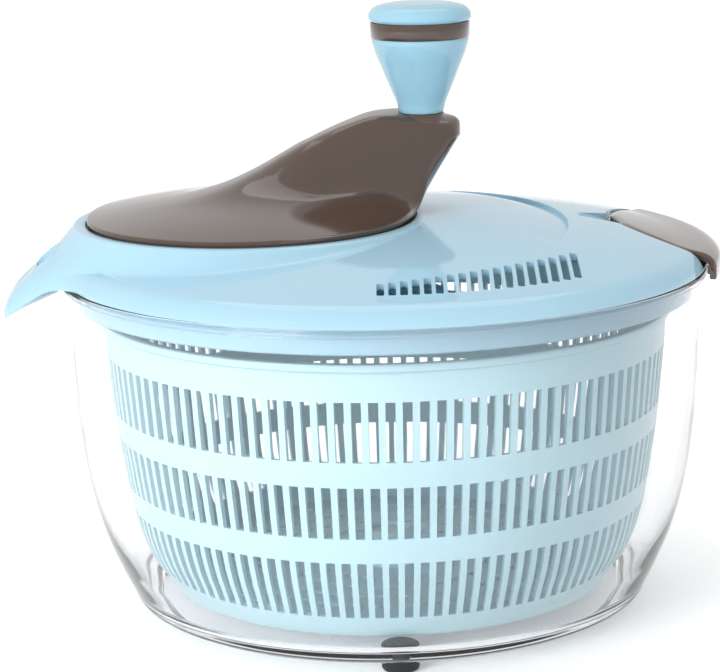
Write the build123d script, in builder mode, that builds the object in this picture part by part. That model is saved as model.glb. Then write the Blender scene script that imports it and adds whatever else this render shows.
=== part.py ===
"""Salad spinner: clear bowl, slotted basket, domed lid with a geared crank, and a rim latch.

Millimetres. +Z is up. The origin is on the basket's spin axis at the table plane. The bird's-beak
handle points to -X and the latch to +X. The crank turns about its own upright axis, on the beak's
side of the spin axis.
"""
from build123d import *
import math
import os

# ---------------------------------------------------------------- driving dimensions
RIM_R = 125.0               # bowl flange and lid edge
RIM_Z = 136.0               # top of the bowl flange
FLANGE_T = 3.4              # flange thickness
BOWL_MOUTH_R = 119.6        # inside of the bowl at its mouth
BOWL_UNDER_Z = 8.5          # underside of the bowl floor
BOWL_FLOOR_Z = 11.0         # top of the bowl floor
FOOT_RING_R = 86.0          # feet stand on this circle
FOOT_R = 7.0
FOOT_ANGLES = {"foot_front": -96.0, "foot_right": 24.0, "foot_left": 144.0}

PEG_R = 5.0                 # moulded peg in the middle of the bowl
PEG_TOP_Z = 24.0
CAP_R = 8.0                 # bearing cap on the peg
RUNNING_FIT = 0.06          # radial clearance of everything that turns

BASKET_RIM_R = 110.4
BASKET_RIM_Z = 120.6
BASKET_FLOOR_Z = 13.3       # underside of the basket floor
SLOTS_PER_TIER = 112
SLOT_W = 3.4
SLOT_TIERS = ((84.0, 106.5), (54.8, 74.5), (22.8, 45.4))
KEY_COUNT = 3               # ribs inside the basket rim that the driver's forks straddle
KEY_T = 2.4
KEY_TURN = 82.0             # the first key's angle about the spin axis

DOME_R = 555.0              # lid top is part of a large sphere
DOME_TOP_Z = 156.4
LID_T = 2.3
LID_GAP = 0.1               # lid edge above the bowl flange
PLUG_R = 119.0              # skirt of the lid inside the bowl mouth
PLUG_Z = 125.8

GEAR_MODULE = 1.5
DRIVE_TEETH = 54
PINION_TEETH = 14
PRESSURE_DEG = 25.0
GEAR_BACKLASH = 0.25
CRANK_X = -(DRIVE_TEETH + PINION_TEETH) * GEAR_MODULE / 2      # -51
GEAR_Z = (138.8, 145.2)

POD_R = 68.5                # raised wall round the crank disc
POD_BORE_R = 64.0
POD_TOP_Z = 155.6
POD_FLOOR_Z = 152.6
DISC_R = 63.0               # crank disc
DISC_Z = 156.2              # crank shell's lower edge
BASE_Z = 153.8              # underside of the crank base
KNOB_X = 15.8               # knob pin at rest
ARM_TIP_R = 15.5
SHELL_T = 2.5

LATCH_PIVOT_X = 121.5
LATCH_PIVOT_Z = 139.5
LATCH_HALF_DEG = 25.0
LATCH_TIP_R = 92.0
LATCH_OUT_R = 130.0

DRAIN_SLOTS = 18            # pouring slots in the lid
DRAIN_PITCH = 4.147
DRAIN_W = 2.7
DRAIN_TURN = -8.0           # the slots run 8 degrees off the Y axis
DRAIN_OUTER_R = 111.0
DRAIN_LENGTHS = (11.0, 27.9)

SPIN_CENTRE = (0.0, 0.0)
CRANK_CENTRE = (CRANK_X, 0.0)
KNOB_AXIS = (KNOB_X, 0.0)

os.makedirs("parts", exist_ok=True)


def finish(builder, name):
    """Label one finished piece and write its STEP."""
    builder.part.label = name
    export_step(builder.part, f"parts/{name}.step")


def polar(radius, degrees, centre=SPIN_CENTRE):
    """Point at a radius and angle about a centre."""
    turn = math.radians(degrees)
    return (centre[0] + radius * math.cos(turn), centre[1] + radius * math.sin(turn))


def dome_z(radius, drop=0.0):
    """Height of the lid's sphere, lowered by drop, at a distance from the spin axis."""
    return DOME_TOP_Z - DOME_R + math.sqrt((DOME_R - drop) ** 2 - radius ** 2)


def dome_ball(drop=0.0):
    """The whole sphere under the lid's top surface, lowered by drop."""
    with BuildPart() as ball:
        with Locations((0, 0, DOME_TOP_Z - DOME_R)):
            Sphere(DOME_R - drop)
    return ball.part


def tube(centre, outer, inner, low, high):
    """Upright tube or, with inner 0, an upright cylinder."""
    with BuildPart() as body:
        with BuildSketch(Plane.XY.offset(low)):
            with Locations(centre):
                Circle(outer)
                if inner > 0:
                    Circle(inner, mode=Mode.SUBTRACT)
        extrude(amount=high - low)
    return body.part


def gear_points(teeth, phase_deg):
    """Outline of a stub involute gear; phase_deg is the angle of one tooth's middle."""
    pitch = teeth * GEAR_MODULE / 2
    base = pitch * math.cos(math.radians(PRESSURE_DEG))
    tip = pitch + 0.8 * GEAR_MODULE
    root = pitch - 1.05 * GEAR_MODULE
    half_pitch = (math.pi * GEAR_MODULE / 2 - GEAR_BACKLASH) / (2 * pitch)
    pressure = math.radians(PRESSURE_DEG)
    half_base = half_pitch + math.tan(pressure) - pressure
    start = max(base, root)
    flank = []
    for step in range(4):
        radius = start + (tip - start) * step / 3
        angle = math.acos(min(1.0, base / radius))
        flank.append((radius, half_base - (math.tan(angle) - angle)))
    if root < base:
        flank.insert(0, (root, half_base))
    points = []
    for tooth in range(teeth):
        middle = math.radians(phase_deg) + 2 * math.pi * tooth / teeth
        for radius, half in flank:
            points.append((radius * math.cos(middle - half), radius * math.sin(middle - half)))
        for radius, half in reversed(flank):
            points.append((radius * math.cos(middle + half), radius * math.sin(middle + half)))
    return points


# ---------------------------------------------------------------- bowl and feet
FOOT_STUD_R = 3.0
with BuildPart() as bowl:
    with BuildSketch(Plane.XZ):
        with BuildLine():
            outside = Spline((122.1, RIM_Z - FLANGE_T), (121.0, 92), (117.0, 54), (108.6, 26.5), (102.0, 11.5))
            toe = ThreePointArc(outside @ 1, (100.4, 7.9), (97.5, 6.2))
            Polyline(toe @ 1, (94.5, 6.2), (93.2, BOWL_UNDER_Z), (0, BOWL_UNDER_Z), (0, PEG_TOP_Z),
                     (PEG_R - 1, PEG_TOP_Z), (PEG_R, PEG_TOP_Z - 1), (PEG_R, 12.2), (9, BOWL_FLOOR_Z),
                     (94.0, BOWL_FLOOR_Z))
            heel = ThreePointArc((94.0, BOWL_FLOOR_Z), (97.2, 11.9), (99.3, 14.2))
            inside = Spline(heel @ 1, (106.1, 28.0), (114.4, 54.8), (118.5, 92), (BOWL_MOUTH_R, 130))
            Polyline(inside @ 1, (BOWL_MOUTH_R, RIM_Z), (RIM_R, RIM_Z), (RIM_R, RIM_Z - FLANGE_T), outside @ 0)
        make_face()
    revolve(axis=Axis.Z)
    with BuildSketch(Plane.XY.offset(BOWL_UNDER_Z)):
        with Locations(*[polar(FOOT_RING_R, a) for a in FOOT_ANGLES.values()]):
            Circle(FOOT_STUD_R + 0.05)
    extrude(amount=1.7, mode=Mode.SUBTRACT)
finish(bowl, "bowl")

for foot_name, foot_angle in FOOT_ANGLES.items():
    foot_at = polar(FOOT_RING_R, foot_angle)
    with BuildPart() as foot:
        with BuildSketch(Plane.XY):
            with Locations(foot_at):
                Circle(FOOT_R)
        extrude(amount=BOWL_UNDER_Z)
        fillet(foot.edges().group_by(Axis.Z)[0], 1.2)
        with BuildSketch(Plane.XY.offset(BOWL_UNDER_Z)):
            with Locations(foot_at):
                Circle(FOOT_STUD_R)
        extrude(amount=1.5)
    finish(foot, foot_name)

# ---------------------------------------------------------------- basket and its bearing cap
CAP_TOP_Z = PEG_TOP_Z + 2.4
with BuildPart() as pivot_cap:
    add(tube(SPIN_CENTRE, CAP_R, 0, 13.6, CAP_TOP_Z))
    add(tube(SPIN_CENTRE, PEG_R + 0.15, 0, 13.6, PEG_TOP_Z + 0.05), mode=Mode.SUBTRACT)
finish(pivot_cap, "pivot_cap")

BASKET_FLOOR_T = 2.2
with BuildPart() as basket:
    with BuildSketch(Plane.XZ):
        with BuildLine():
            wall_out = Spline((108.9, 117.6), (106.5, 84), (102.7, 54.8), (94.6, 24.0))
            turn_out = Spline(wall_out @ 1, (91.3, 17.4), (86.0, BASKET_FLOOR_Z), tangents=((-0.35, -1), (-1, 0)))
            Polyline(turn_out @ 1, (CAP_R + RUNNING_FIT, BASKET_FLOOR_Z),
                     (CAP_R + RUNNING_FIT, CAP_TOP_Z + 0.2), (0, CAP_TOP_Z + 0.2), (0, CAP_TOP_Z + 2.4),
                     (9, CAP_TOP_Z + 2.4), (11, CAP_TOP_Z + 0.4), (13, BASKET_FLOOR_Z + BASKET_FLOOR_T),
                     (84.5, BASKET_FLOOR_Z + BASKET_FLOOR_T))
            turn_in = Spline((84.5, BASKET_FLOOR_Z + BASKET_FLOOR_T), (89.0, 18.6), (92.5, 24.6),
                             tangents=((1, 0), (0.35, 1)))
            wall_in = Spline(turn_in @ 1, (100.6, 54.8), (104.4, 84), (106.8, 117.6))
            Polyline(wall_in @ 1, (106.8, BASKET_RIM_Z), (BASKET_RIM_R, BASKET_RIM_Z), (BASKET_RIM_R, 117.6),
                     wall_out @ 0)
        make_face()
    revolve(axis=Axis.Z)
    # drain slots: three tiers of upright slots, and rings of round holes in the floor
    for slot_low, slot_high in SLOT_TIERS:
        with BuildSketch(Plane.YZ.offset(80)) as slot_face:
            with Locations((0, (slot_low + slot_high) / 2)):
                Rectangle(SLOT_W, slot_high - slot_low)
        slot_tool = extrude(slot_face.sketch, amount=40, mode=Mode.PRIVATE)
        with PolarLocations(0, SLOTS_PER_TIER):
            add(slot_tool, mode=Mode.SUBTRACT)
    for ring_r, ring_holes in ((28, 18), (42, 28), (56, 36), (70, 46)):
        with BuildSketch(Plane.XY.offset(BASKET_FLOOR_Z - 1)):
            with PolarLocations(ring_r, ring_holes):
                Circle(2.2)
        extrude(amount=BASKET_FLOOR_T + 2, mode=Mode.SUBTRACT)
    # driving keys inside the rim
    for key in range(KEY_COUNT):
        key_turn = KEY_TURN + 360 * key / KEY_COUNT
        with BuildSketch(Plane.XY.rotated((0, 0, key_turn)).offset(110)):
            with Locations((104.6, 0)):
                Rectangle(5.2, KEY_T)
        extrude(amount=BASKET_RIM_Z - 111)
finish(basket, "basket")

# ---------------------------------------------------------------- lid
LEVER_CORNER = polar(LATCH_OUT_R, LATCH_HALF_DEG)
LEVER_SHOULDER = (101.0, 33.0)


def lever_outline(grow=0.0):
    """Plan of the latch lever: a rounded shield that narrows inward; grow widens it all round."""
    corner_x, corner_y = LEVER_CORNER
    with BuildSketch() as plan:
        with BuildLine():
            upper = ThreePointArc((corner_x, corner_y), LEVER_SHOULDER, (LATCH_TIP_R, 9.0))
            Line((LATCH_TIP_R, 9.0), (LATCH_TIP_R, -9.0))
            lower = ThreePointArc((LATCH_TIP_R, -9.0), (LEVER_SHOULDER[0], -LEVER_SHOULDER[1]),
                                  (corner_x, -corner_y))
            ThreePointArc((corner_x, -corner_y), (LATCH_OUT_R, 0), (corner_x, corner_y))
        make_face()
        if grow > 0:
            offset(amount=grow)
    return plan.sketch


POCKET_Z = 136.6            # floor of the latch pocket inside the plug
POCKET_RIM_Z = 137.4        # floor of the latch pocket over the rim
LATCH_SWING_ROOM = 1.3      # room for the lever's inner edge as it tips down
EAR_Y = (6.0, 8.5)          # lid ears that carry the latch pin
PIN_R = 1.2
COVER_SCREWS = ((50.0, 70.0), (50.0, -70.0), (50.0, 150.0), (50.0, -150.0))
COVER_BOSS_R = 3.8
SCREW_R = 1.3
COVER_Z = (134.0, 136.0)
FLOOR_T = 2.3
FLOOR_UNDER_Z = POD_FLOOR_Z - FLOOR_T
BUSH_R = 10.5
HUB_R = 8.0
JOURNAL_R = 3.0

BEAK_SIDE = ((-119.0, 154.4), (-124.4, 149.3), (-129.6, 144.0), (-136.3, 138.5), (-142.0, 133.4),
             (-145.8, 128.2), (-147.4, 120.5))
BEAK_UNDER = ((-147.4, 120.5), (-144.2, 122.8), (-139.0, 125.6), (-132.5, 127.7), (-125.8, 128.6))

with BuildPart() as lid_shell:
    with BuildSketch(Plane.XZ):
        with BuildLine():
            top = ThreePointArc((0, DOME_TOP_Z), (60, dome_z(60)), (117, dome_z(117)))
            edge = ThreePointArc(top @ 1, (122.6, 142.0), (RIM_R, 137.5))
            Polyline(edge @ 1, (RIM_R, RIM_Z + LID_GAP), (PLUG_R, RIM_Z + LID_GAP), (PLUG_R, PLUG_Z),
                     (PLUG_R - 2, PLUG_Z), (PLUG_R - 2, 140.8), (116.0, dome_z(116.0, LID_T)))
            ThreePointArc((116.0, dome_z(116.0, LID_T)), (60, dome_z(60, LID_T)), (0, DOME_TOP_Z - LID_T))
            Line((0, DOME_TOP_Z - LID_T), (0, DOME_TOP_Z))
        make_face()
    revolve(axis=Axis.Z)
    # pod: raised wall round the crank disc, with a flat floor that carries the gearing
    with BuildSketch(Plane.XY.offset(130)):
        with Locations(CRANK_CENTRE):
            Circle(POD_BORE_R + 2)
    extrude(amount=40, mode=Mode.SUBTRACT)
    with BuildPart(mode=Mode.PRIVATE) as pod_wall:
        add(tube(CRANK_CENTRE, POD_R, POD_BORE_R + 2, 138, POD_TOP_Z))
        add(dome_ball(LID_T), mode=Mode.SUBTRACT)
    add(pod_wall.part)
    add(tube(CRANK_CENTRE, POD_R, POD_BORE_R, FLOOR_UNDER_Z, POD_TOP_Z))
    add(tube(CRANK_CENTRE, POD_BORE_R + 1, 0, FLOOR_UNDER_Z, POD_FLOOR_Z))
    # socket for the spindle's upper journal, and bosses for the gear cover's screws
    add(tube(SPIN_CENTRE, JOURNAL_R + 2.5, 0, 146.4, FLOOR_UNDER_Z + 0.1))
    add(tube(SPIN_CENTRE, JOURNAL_R + RUNNING_FIT, 0, 146.4, FLOOR_UNDER_Z), mode=Mode.SUBTRACT)
    for boss_r, boss_turn in COVER_SCREWS:
        boss_at = polar(boss_r, boss_turn, CRANK_CENTRE)
        add(tube(boss_at, COVER_BOSS_R, 0, COVER_Z[1], FLOOR_UNDER_Z + 0.1))
        add(tube(boss_at, SCREW_R + 0.05, 0, COVER_Z[1], COVER_Z[1] + 9.5), mode=Mode.SUBTRACT)
    add(tube(CRANK_CENTRE, BUSH_R + 0.02, 0, 140, 160), mode=Mode.SUBTRACT)
    # beak: a solid handle that hooks down past the bowl's flange
    with BuildPart(mode=Mode.PRIVATE) as beak:
        with BuildSketch(Plane.XZ.offset(-60)):
            with BuildLine():
                beak_top = Spline(*BEAK_SIDE)
                beak_low = Spline(*BEAK_UNDER)
                Polyline(beak_low @ 1, (-RIM_R - 0.8, RIM_Z + LID_GAP), (-119.0, RIM_Z + LID_GAP), beak_top @ 0)
            make_face()
        extrude(amount=120)
        with BuildSketch(Plane.XY.offset(100)):
            with BuildLine():
                side_a = Spline((-110.0, 45.0), (-127.0, 25.0), (-139.0, 12.5), (-147.8, 0.0), (-139.0, -12.5),
                                (-127.0, -25.0), (-110.0, -45.0), tangents=((-0.7, -0.7), (0.7, -0.7)))
                Line(side_a @ 1, side_a @ 0)
            make_face()
        extrude(amount=70, mode=Mode.INTERSECT)
    add(beak.part)
    # latch pocket with a floor under it, and ears for the latch pin
    with BuildPart(mode=Mode.PRIVATE) as pocket_block:
        add(extrude(Plane.XY.offset(POCKET_Z - 2) * lever_outline(3.6), amount=20, mode=Mode.PRIVATE))
        with BuildSketch(Plane.XY.offset(POCKET_Z - 2)):
            Polygon((70.0, 0.0), (93.0, 15.0), (93.0, -15.0), align=None)
        extrude(amount=20)
        add(dome_ball(1.0), mode=Mode.INTERSECT)
        add(tube(SPIN_CENTRE, PLUG_R - 1, 0, 100, 200), mode=Mode.INTERSECT)
    add(pocket_block.part)
    pocket_tool = extrude(Plane.XY.offset(POCKET_RIM_Z) * lever_outline(0.6), amount=40, mode=Mode.PRIVATE)
    add(pocket_tool, mode=Mode.SUBTRACT)
    swing_tool = pocket_tool.moved(Location((-LATCH_SWING_ROOM, 0, 2.0)))
    add(swing_tool, mode=Mode.SUBTRACT)
    # finger scoop that runs down to the lever's inner edge
    with BuildPart(mode=Mode.PRIVATE) as scoop:
        with BuildSketch(Plane.XZ.offset(-20)):
            Polygon((74.0, dome_z(74.0)), (92.5, POCKET_RIM_Z + 2), (92.5, 160.0), (74.0, 160.0), align=None)
        extrude(amount=40)
        with BuildSketch(Plane.XY.offset(130)):
            Polygon((74.0, 0.0), (93.0, 12.0), (93.0, -12.0), align=None)
        extrude(amount=40, mode=Mode.INTERSECT)
    add(scoop.part, mode=Mode.SUBTRACT)
    with BuildPart(mode=Mode.PRIVATE) as pocket_well:
        add(extrude(Plane.XY.offset(POCKET_Z) * lever_outline(0.6), amount=20, mode=Mode.PRIVATE))
        add(tube(SPIN_CENTRE, PLUG_R - 2, 0, 100, 200), mode=Mode.INTERSECT)
    add(pocket_well.part, mode=Mode.SUBTRACT)
    for ear_side in (1, -1):
        with BuildSketch(Plane.XY.offset(POCKET_Z - 0.1)):
            with Locations((LATCH_PIVOT_X - 0.5, ear_side * (EAR_Y[0] + EAR_Y[1]) / 2)):
                Rectangle(5.0, EAR_Y[1] - EAR_Y[0])
        extrude(amount=LATCH_PIVOT_Z + 1.8 - POCKET_Z)
    with Locations(Plane((LATCH_PIVOT_X, 0, LATCH_PIVOT_Z), z_dir=(0, 1, 0))):
        Cylinder(PIN_R + 0.02, 30, mode=Mode.SUBTRACT)
    # crescent recess behind the crank, about a millimetre deep
    with BuildPart(mode=Mode.PRIVATE) as crescent:
        with BuildSketch(Plane.XY.offset(140)):
            with Locations(CRANK_CENTRE):
                Circle(121.5)
            with Locations(polar(11.5, 187.0, (CRANK_X, 0))):
                Circle(119.0, mode=Mode.SUBTRACT)
        extrude(amount=20)
        add(dome_ball(1.1), mode=Mode.SUBTRACT)
        with BuildSketch(Plane.XY.offset(139)):
            with BuildLine():
                Polyline(CRANK_CENTRE, polar(200, -27, CRANK_CENTRE), polar(260, 7, CRANK_CENTRE),
                         polar(200, 41, CRANK_CENTRE), close=True)
            make_face()
        extrude(amount=40, mode=Mode.INTERSECT)
    add(crescent.part, mode=Mode.SUBTRACT)
    # pouring slots
    for slot in range(DRAIN_SLOTS):
        share = slot / (DRAIN_SLOTS - 1)
        length = DRAIN_LENGTHS[0] + (DRAIN_LENGTHS[1] - DRAIN_LENGTHS[0]) * share
        across = -1.5 + slot * DRAIN_PITCH
        out_y = -math.sqrt(DRAIN_OUTER_R ** 2 - across ** 2)
        with BuildSketch(Plane.XY.rotated((0, 0, DRAIN_TURN)).offset(138)):
            with Locations((across, out_y + length / 2)):
                RectangleRounded(DRAIN_W, length, 0.6)
        extrude(amount=25, mode=Mode.SUBTRACT)
finish(lid_shell, "lid_shell")

# ---------------------------------------------------------------- gear cover under the lid
DRIVE_ROOM_R = 45.5
PINION_ROOM_R = 16.0
with BuildPart() as gear_cover:
    with BuildSketch(Plane.XY.offset(COVER_Z[0])):
        with Locations(CRANK_CENTRE):
            Circle(DRIVE_ROOM_R)
        Circle(PINION_ROOM_R)
        with Locations(*[polar(r, a, CRANK_CENTRE) for r, a in COVER_SCREWS]):
            Circle(COVER_BOSS_R + 2.2)
    extrude(amount=COVER_Z[1] - COVER_Z[0])
    with BuildSketch(Plane.XY.offset(COVER_Z[1])):
        with Locations(CRANK_CENTRE):
            Circle(DRIVE_ROOM_R)
        Circle(PINION_ROOM_R)
        with Locations(CRANK_CENTRE):
            Circle(DRIVE_ROOM_R - 2, mode=Mode.SUBTRACT)
        Circle(PINION_ROOM_R - 2, mode=Mode.SUBTRACT)
    extrude(amount=FLOOR_UNDER_Z - 0.1 - COVER_Z[1])
    with BuildSketch(Plane.XY.offset(COVER_Z[0] - 5)):
        Circle(10)
    extrude(amount=6)
    with BuildSketch(Plane.XY.offset(COVER_Z[0] - 6)):
        Circle(7.02)
        with Locations(*[polar(r, a, CRANK_CENTRE) for r, a in COVER_SCREWS]):
            Circle(SCREW_R + 0.2)
    extrude(amount=10, mode=Mode.SUBTRACT)
    for boss_r, boss_turn in COVER_SCREWS:
        boss_at = polar(boss_r, boss_turn, CRANK_CENTRE)
        add(tube(boss_at, COVER_BOSS_R + 0.3, 0, COVER_Z[1], FLOOR_UNDER_Z), mode=Mode.SUBTRACT)
finish(gear_cover, "gear_cover")


def pan_screw(at, under_head_z, shank, head_r, head_t, head_up):
    """Pan-head screw with a cross recess; head_up tells which way its head points."""
    sign = 1 if head_up else -1
    with BuildPart() as screw:
        with BuildSketch(Plane.XY.offset(under_head_z)):
            with Locations(at):
                Circle(SCREW_R)
        extrude(amount=-sign * shank)
        with BuildSketch(Plane.XY.offset(under_head_z)):
            with Locations(at):
                Circle(head_r)
        extrude(amount=sign * head_t)
        with BuildSketch(Plane.XY.offset(under_head_z + sign * head_t)):
            with Locations(at):
                Rectangle(head_r, 0.7)
                Rectangle(0.7, head_r)
        extrude(amount=-sign * head_t * 0.6, mode=Mode.SUBTRACT)
    return screw.part


def screw_group(places, under_head_z, shank, head_r=2.6, head_t=1.8, head_up=False):
    """Separate identical screws in one node."""
    with BuildPart() as group:
        for at in places:
            add(pan_screw(at, under_head_z, shank, head_r, head_t, head_up))
    return group


cover_screws = screw_group([polar(r, a, CRANK_CENTRE) for r, a in COVER_SCREWS], COVER_Z[0], 11)
finish(cover_screws, "gear_cover_screws")

# ---------------------------------------------------------------- bushes
with BuildPart() as crank_bush:
    add(tube(CRANK_CENTRE, BUSH_R, 0, FLOOR_UNDER_Z - 1.2, POD_FLOOR_Z))
    add(tube(CRANK_CENTRE, BUSH_R + 3, 0, POD_FLOOR_Z, POD_FLOOR_Z + 0.8))
    add(tube(CRANK_CENTRE, HUB_R + RUNNING_FIT, 0, 140, 160), mode=Mode.SUBTRACT)
finish(crank_bush, "crank_bush")

SPINDLE_R = 4.0
with BuildPart() as spindle_bush:
    add(tube(SPIN_CENTRE, 7.0, 0, COVER_Z[0] - 5, COVER_Z[1] + 0.1))
    add(tube(SPIN_CENTRE, 9.0, 0, COVER_Z[0] - 6, COVER_Z[0] - 5))
    add(tube(SPIN_CENTRE, SPINDLE_R + RUNNING_FIT, 0, 120, 140), mode=Mode.SUBTRACT)
finish(spindle_bush, "spindle_bush")

# ---------------------------------------------------------------- spindle, pinion and basket driver
with BuildPart() as spindle:
    add(tube(SPIN_CENTRE, SPINDLE_R, 0, 121.4, 146.2))
    add(tube(SPIN_CENTRE, JOURNAL_R, 0, 146.2, FLOOR_UNDER_Z - 0.3))
    add(tube(SPIN_CENTRE, SCREW_R + 0.05, 0, 121.4, 132), mode=Mode.SUBTRACT)
    fillet(spindle.edges().group_by(Axis.Z)[-1], 0.4)
finish(spindle, "spindle")

with BuildPart() as pinion:
    with BuildSketch(Plane.XY.offset(GEAR_Z[0] - 0.4)):
        with BuildLine():
            Polyline(*gear_points(PINION_TEETH, 180.0 + 180.0 / PINION_TEETH), close=True)
        make_face()
        Circle(SPINDLE_R, mode=Mode.SUBTRACT)
    extrude(amount=GEAR_Z[1] - GEAR_Z[0] + 0.8)
    add(tube(SPIN_CENTRE, 6.5, SPINDLE_R, 136.4, GEAR_Z[0] - 0.4))
finish(pinion, "pinion")

DRIVER_Z = (121.5, 124.0)
FORK_GAP = 0.5
with BuildPart() as basket_driver:
    with BuildSketch(Plane.XY.offset(DRIVER_Z[0])):
        Circle(24)
        with PolarLocations(0, KEY_COUNT, KEY_TURN):
            with Locations((62, 0)):
                Rectangle(88, 13)
        Circle(SPINDLE_R + 0.02, mode=Mode.SUBTRACT)
    extrude(amount=DRIVER_Z[1] - DRIVER_Z[0])
    # rib along each arm, hub, and forks that reach down either side of the basket's keys
    with BuildSketch(Plane.XY.offset(DRIVER_Z[1])):
        with PolarLocations(0, KEY_COUNT, KEY_TURN):
            with Locations((52, 0)):
                Rectangle(88, 2)
        Circle(8.5)
        Circle(SPINDLE_R + 0.02, mode=Mode.SUBTRACT)
    extrude(amount=2.6)
    with BuildSketch(Plane.XY.offset(DRIVER_Z[0])):
        for fork_side in (1, -1):
            with PolarLocations(0, KEY_COUNT, KEY_TURN):
                with Locations((104.0, fork_side * (KEY_T / 2 + FORK_GAP + 1.25))):
                    Rectangle(3.6, 2.5)
    extrude(amount=-7.5)
finish(basket_driver, "basket_driver")

driver_screw = screw_group([SPIN_CENTRE], 121.3, 9.5, head_r=6.0, head_t=1.8)
finish(driver_screw, "driver_screw")

# ---------------------------------------------------------------- crank
HUB_SCREWS = [polar(5.2, a, CRANK_CENTRE) for a in (30, 150, 270)]
BASE_SCREWS = [polar(54, a, CRANK_CENTRE) for a in (60, 180, 300)]
with BuildPart() as drive_gear:
    with BuildSketch(Plane.XY.offset(GEAR_Z[0])):
        with BuildLine():
            Polyline(*[(x + CRANK_X, y) for x, y in gear_points(DRIVE_TEETH, 0.0)], close=True)
        make_face()
        with Locations(*HUB_SCREWS):
            Circle(SCREW_R + 0.2, mode=Mode.SUBTRACT)
    extrude(amount=GEAR_Z[1] - GEAR_Z[0])
    # the web is thinner than the toothed rim
    with BuildSketch(Plane.XY.offset(GEAR_Z[0]), Plane.XY.offset(GEAR_Z[1] - 2)):
        with Locations(CRANK_CENTRE):
            Circle(36)
            Circle(11, mode=Mode.SUBTRACT)
    extrude(amount=2, mode=Mode.SUBTRACT)
finish(drive_gear, "drive_gear")

gear_screws = screw_group(HUB_SCREWS, GEAR_Z[0], 11, head_r=2.3, head_t=1.5)
finish(gear_screws, "gear_screws")

with BuildPart() as crank_base:
    add(tube(CRANK_CENTRE, DISC_R - 0.4, 0, BASE_Z, DISC_Z))
    add(tube(CRANK_CENTRE, HUB_R, 0, GEAR_Z[1], BASE_Z))
    for screw_at in HUB_SCREWS:
        add(tube(screw_at, SCREW_R + 0.05, 0, GEAR_Z[1], GEAR_Z[1] + 6), mode=Mode.SUBTRACT)
    for screw_at in BASE_SCREWS:
        add(tube(screw_at, SCREW_R + 0.2, 0, BASE_Z, DISC_Z), mode=Mode.SUBTRACT)
        add(tube(screw_at, 2.9, 0, BASE_Z, BASE_Z + 1.2), mode=Mode.SUBTRACT)
finish(crank_base, "crank_base")


def crank_form(inset):
    """Solid of the crank shell: a shallow disc with an arm that rises over the spin axis."""
    with BuildPart() as form:
        with BuildSketch(Plane.XZ.offset(-40)):
            with BuildLine():
                ridge = Spline((-100.0, 157.5), (-78.0, 163.0 - inset), (-54.7, 171.8 - inset),
                               (-38.3, 179.8 - inset), (-23.4, 188.0 - inset), (-9.9, 192.2 - inset),
                               (1.7, 193.2 - inset), (15.0, 192.0 - inset), (31.3 - inset, 187.6 - inset))
                Polyline(ridge @ 1, (31.3 - inset, 184.8), (27.2 - inset, 179.4), (22.0 - inset, 170.1),
                         (16.4 - inset, 160.6), (11.0 - inset, DISC_Z), (-100.0, DISC_Z), ridge @ 0)
            make_face()
        extrude(amount=80)
        with BuildSketch(Plane.XY.offset(DISC_Z)):
            with BuildLine():
                tip = ThreePointArc((KNOB_X, ARM_TIP_R - inset), (KNOB_X + ARM_TIP_R - inset, 0),
                                    (KNOB_X, inset - ARM_TIP_R))
                low_side = Spline(tip @ 1, (-30.0, inset - 20.0), (-62.0, inset - 36.0), (-100.0, inset - 37.0))
                Line(low_side @ 1, (-100.0, 37.0 - inset))
                Spline((-100.0, 37.0 - inset), (-62.0, 36.0 - inset), (-30.0, 20.0 - inset), tip @ 0)
            make_face()
        extrude(amount=60, mode=Mode.INTERSECT)
        with BuildSketch(Plane.XZ):
            with BuildLine():
                dish = ThreePointArc((0, 161.2 - inset), (32, 160.2 - inset), (DISC_R - inset, 157.2 - inset / 4))
                Polyline(dish @ 1, (DISC_R - inset, DISC_Z), (0, DISC_Z), dish @ 0)
            make_face()
        dish_part = revolve(axis=Axis.Z, mode=Mode.PRIVATE)
        add(dish_part.moved(Location((CRANK_X, 0, 0))))
    return form.part


PIN_SEAT_Z = 183.0
with BuildPart() as crank_arm:
    add(crank_form(0.0))
    add(crank_form(SHELL_T), mode=Mode.SUBTRACT)
    add(tube(KNOB_AXIS, 6.0, 0, PIN_SEAT_Z - 1, 191.0))
    add(tube(KNOB_AXIS, 9.0, 0, 190.0, 193.6))
    add(tube(KNOB_AXIS, JOURNAL_R, 0, PIN_SEAT_Z, 200), mode=Mode.SUBTRACT)
    for screw_at in BASE_SCREWS:
        add(tube(screw_at, 3.2, 0, DISC_Z, 158.0))
        add(tube(screw_at, SCREW_R + 0.05, 0, DISC_Z, 157.2), mode=Mode.SUBTRACT)
finish(crank_arm, "crank_arm")

base_screws = screw_group(BASE_SCREWS, BASE_Z + 1.2, 2.0, head_r=2.5, head_t=1.0)
finish(base_screws, "crank_base_screws")

# ---------------------------------------------------------------- knob
PIN_TOP_Z = 228.4
GRIP_PROFILE = ((8.7, 194.5), (9.6, 198.0), (11.5, 202.6), (13.3, 207.0), (15.2, 211.8), (17.1, 216.4), (18.6, 221.0))
with BuildPart() as knob_pin:
    add(tube(KNOB_AXIS, JOURNAL_R, 0, PIN_SEAT_Z, PIN_TOP_Z))
    add(tube(KNOB_AXIS, 7.0, JOURNAL_R, 193.6, 194.2))
    add(tube(KNOB_AXIS, SCREW_R + 0.05, 0, 220, PIN_TOP_Z), mode=Mode.SUBTRACT)
finish(knob_pin, "knob_pin")


def knob_turned(points):
    """Revolve a closed (radius, height) outline about the knob's axis."""
    with BuildPart() as turned:
        with BuildSketch(Plane.XZ):
            with BuildLine():
                Polyline(*points, close=True)
            make_face()
        revolve(axis=Axis.Z)
    return turned.part.moved(Location((KNOB_X, 0, 0)))


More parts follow.
